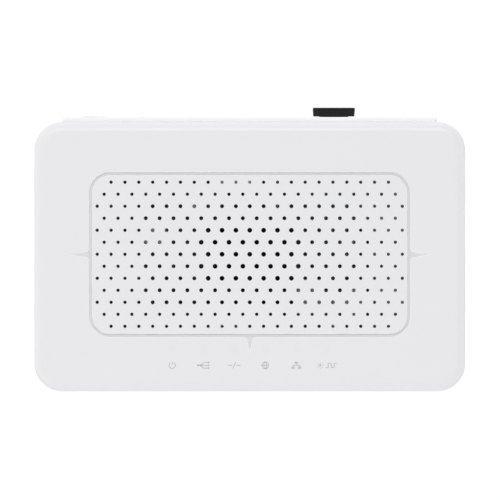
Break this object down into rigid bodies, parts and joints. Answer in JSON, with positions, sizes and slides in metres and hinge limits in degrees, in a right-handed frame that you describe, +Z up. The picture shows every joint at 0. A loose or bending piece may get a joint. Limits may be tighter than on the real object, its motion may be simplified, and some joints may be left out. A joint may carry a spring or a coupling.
{
  "type": "optical network terminal",
  "caption": "Flat white optical network terminal with a perforated top, rear ports, a dust-capped optical socket, a push power switch and wall keyholes.",
  "frame": {"origin": "on the surface it stands on, under the middle of the bounding box", "axes": "+X to the right seen from the front (lamp) side, +Y to the rear port panel, +Z up out of the vented top"},
  "size_m": [0.132, 0.087, 0.027],
  "materials": {
    "cover_plastic": "white ABS, very fine satin texture",
    "panel_plastic": "white ABS, satin",
    "cap_plastic": "black soft plastic, satin",
    "button_plastic": "light grey ABS, semi-gloss",
    "foot_rubber": "light grey silicone rubber, matte",
    "screw_steel": "zinc-plated steel",
    "label_film": "silver-grey polyester film, blank",
    "board_laminate": "dark green solder mask over glass-epoxy",
    "chip_epoxy": "black moulding compound",
    "pad_silicone": "blue-grey gap pad",
    "sink_aluminium": "black anodised aluminium",
    "can_aluminium": "bare aluminium can",
    "ferrite": "sintered ferrite",
    "plated_shell": "nickel-plated sheet",
    "jack_plastic": "black nylon",
    "contact_gold": "gold-plated bronze",
    "adapter_plastic": "green polybutylene",
    "plug_plastic": "green polycarbonate",
    "zirconia": "white zirconia ceramic",
    "natural_plastic": "natural white plastic",
    "fibre_jacket": "white jacket",
    "lens_clear": "clear acrylic",
    "led_resin": "white package with yellowish lens",
    "spring_steel": "spring wire"
  },
  "bodies": {
    "housing": {"top_cover": "cover_plastic", "bottom_cover": "cover_plastic", "rear_panel": "panel_plastic", "rubber_feet": "foot_rubber", "case_screws": "screw_steel", "rating_label": "label_film", "main_board": "board_laminate", "board_screws": "screw_steel", "main_processor": "chip_epoxy", "thermal_pad": "pad_silicone", "heat_sink": "sink_aluminium", "memory_chip": "chip_epoxy", "flash_chip": "chip_epoxy", "laser_driver_chip": "chip_epoxy", "regulator_chips": "chip_epoxy", "lan_transformer": "chip_epoxy", "electrolytic_capacitors": "can_aluminium", "power_inductors": "ferrite", "crystal": "can_aluminium", "chip_components": "natural_plastic", "debug_header": "jack_plastic", "status_leds": "led_resin", "light_guide": "lens_clear", "lan_jack_shell": "plated_shell", "lan_jack_insert": "jack_plastic", "lan_jack_contacts": "contact_gold", "dc_jack_body": "jack_plastic", "dc_jack_pin": "plated_shell", "dc_jack_spring": "plated_shell", "power_switch_body": "jack_plastic", "switch_spring": "spring_steel", "reset_switch_body": "jack_plastic", "optical_adapter": "adapter_plastic", "sleeve_holder": "natural_plastic", "adapter_sleeve": "zirconia", "fibre_connector": "plug_plastic", "fibre_ferrule": "zirconia", "fibre_boot": "plug_plastic", "fibre_pigtail": "fibre_jacket", "fibre_tray": "natural_plastic", "optical_transceiver": "plated_shell", "transceiver_boot": "ferrite", "transceiver_cans": "contact_gold", "transceiver_pins": "contact_gold", "transceiver_shield": "plated_shell"},
    "dust_cap": {"dust_cap": "cap_plastic"},
    "power_button": {"power_button": "button_plastic", "switch_plunger": "natural_plastic"},
    "reset_plunger": {"reset_plunger": "natural_plastic"}
  },
  "joints": [
    {"name": "dust_cap_pull", "type": "slide", "parent": "housing", "child": "dust_cap", "axis": [0, 1, 0], "range_m": [0, 0.03]},
    {"name": "power_button_press", "type": "slide", "parent": "housing", "child": "power_button", "axis": [0, -1, 0], "range_m": [0, 0.002], "stiffness_N_per_m": 300, "springref_m": -0.002, "deforming": ["switch_spring"]},
    {"name": "reset_press", "type": "slide", "parent": "housing", "child": "reset_plunger", "axis": [0, -1, 0], "range_m": [0, 0.0003], "stiffness_N_per_m": 800, "springref_m": -0.0005}
  ]
}
